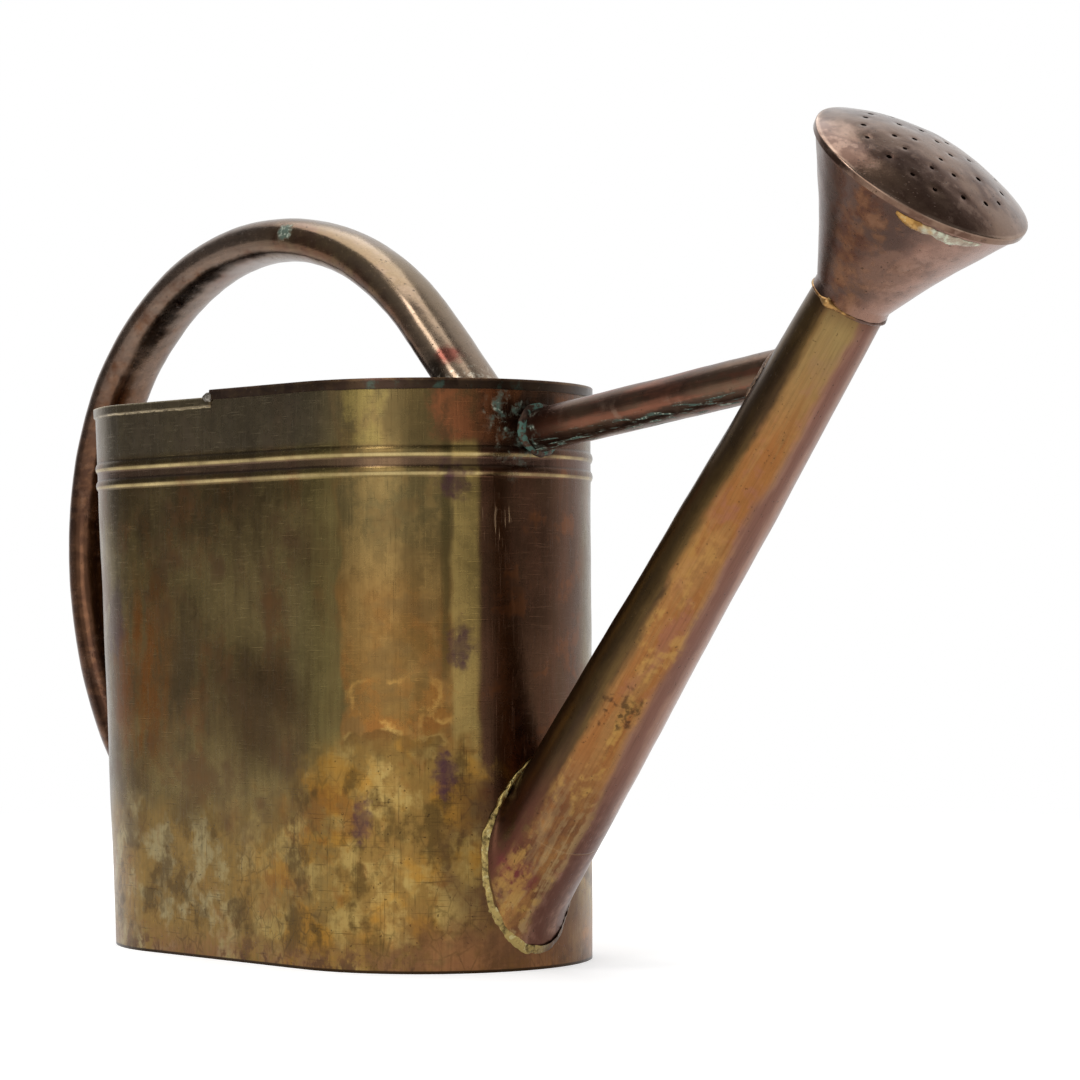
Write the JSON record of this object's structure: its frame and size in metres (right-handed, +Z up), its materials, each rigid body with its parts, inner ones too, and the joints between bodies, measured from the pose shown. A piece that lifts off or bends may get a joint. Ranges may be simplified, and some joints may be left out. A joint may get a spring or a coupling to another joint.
{
  "type": "watering can",
  "caption": "Old tarnished sheet-brass watering can: flat-sided oval body, hoop handle over a half cover, long braced spout and a domed sprinkling rose.",
  "frame": {"origin": "on the ground under the body, midway between the two ends of the rim and on the plane of symmetry", "axes": "+X towards the spout, +Y across the can to the left of the spout, +Z up"},
  "size_m": [0.6343, 0.1626, 0.3783],
  "materials": {
    "body_brass": "tarnished sheet brass, dark olive patina with golden worn patches and fine vertical brush marks",
    "base_brass": "dull tarnished brass",
    "cover_copper": "dark brown oxidised copper-toned brass",
    "handle_copper": "brown oxidised copper-toned tube, lightly hammered, with bright rubbed streaks",
    "spout_brass": "brass with olive, orange and pink-brown heat tints",
    "brace_copper": "brown oxidised copper-toned tube",
    "rose_copper": "dark brown oxidised copper with pink streaks",
    "rose_face_copper": "smooth brown-pink copper, glossy where rubbed",
    "root_solder": "rough pale brassy solder",
    "verdigris_solder": "dark solder crusted with blue-green verdigris",
    "brace_solder": "dull brown solder",
    "handle_solder": "lumpy brown-grey solder with white and green specks",
    "golden_solder": "bright golden solder",
    "grey_solder": "speckled grey solder"
  },
  "bodies": {
    "root": {"body_wall": "body_brass", "base_plate": "base_brass", "front_cover": "cover_copper", "handle_tube": "handle_copper", "spout_tube": "spout_brass", "brace_tube": "brace_copper", "rose_cone": "rose_copper", "rose_face": "rose_face_copper", "spout_root_solder": "root_solder", "brace_body_solder": "verdigris_solder", "brace_spout_solder": "brace_solder", "handle_front_solder": "handle_solder", "handle_back_solder": "handle_solder", "rose_neck_solder": "golden_solder", "rose_rim_solder": "golden_solder", "cover_solder": "grey_solder"}
  },
  "joints": []
}
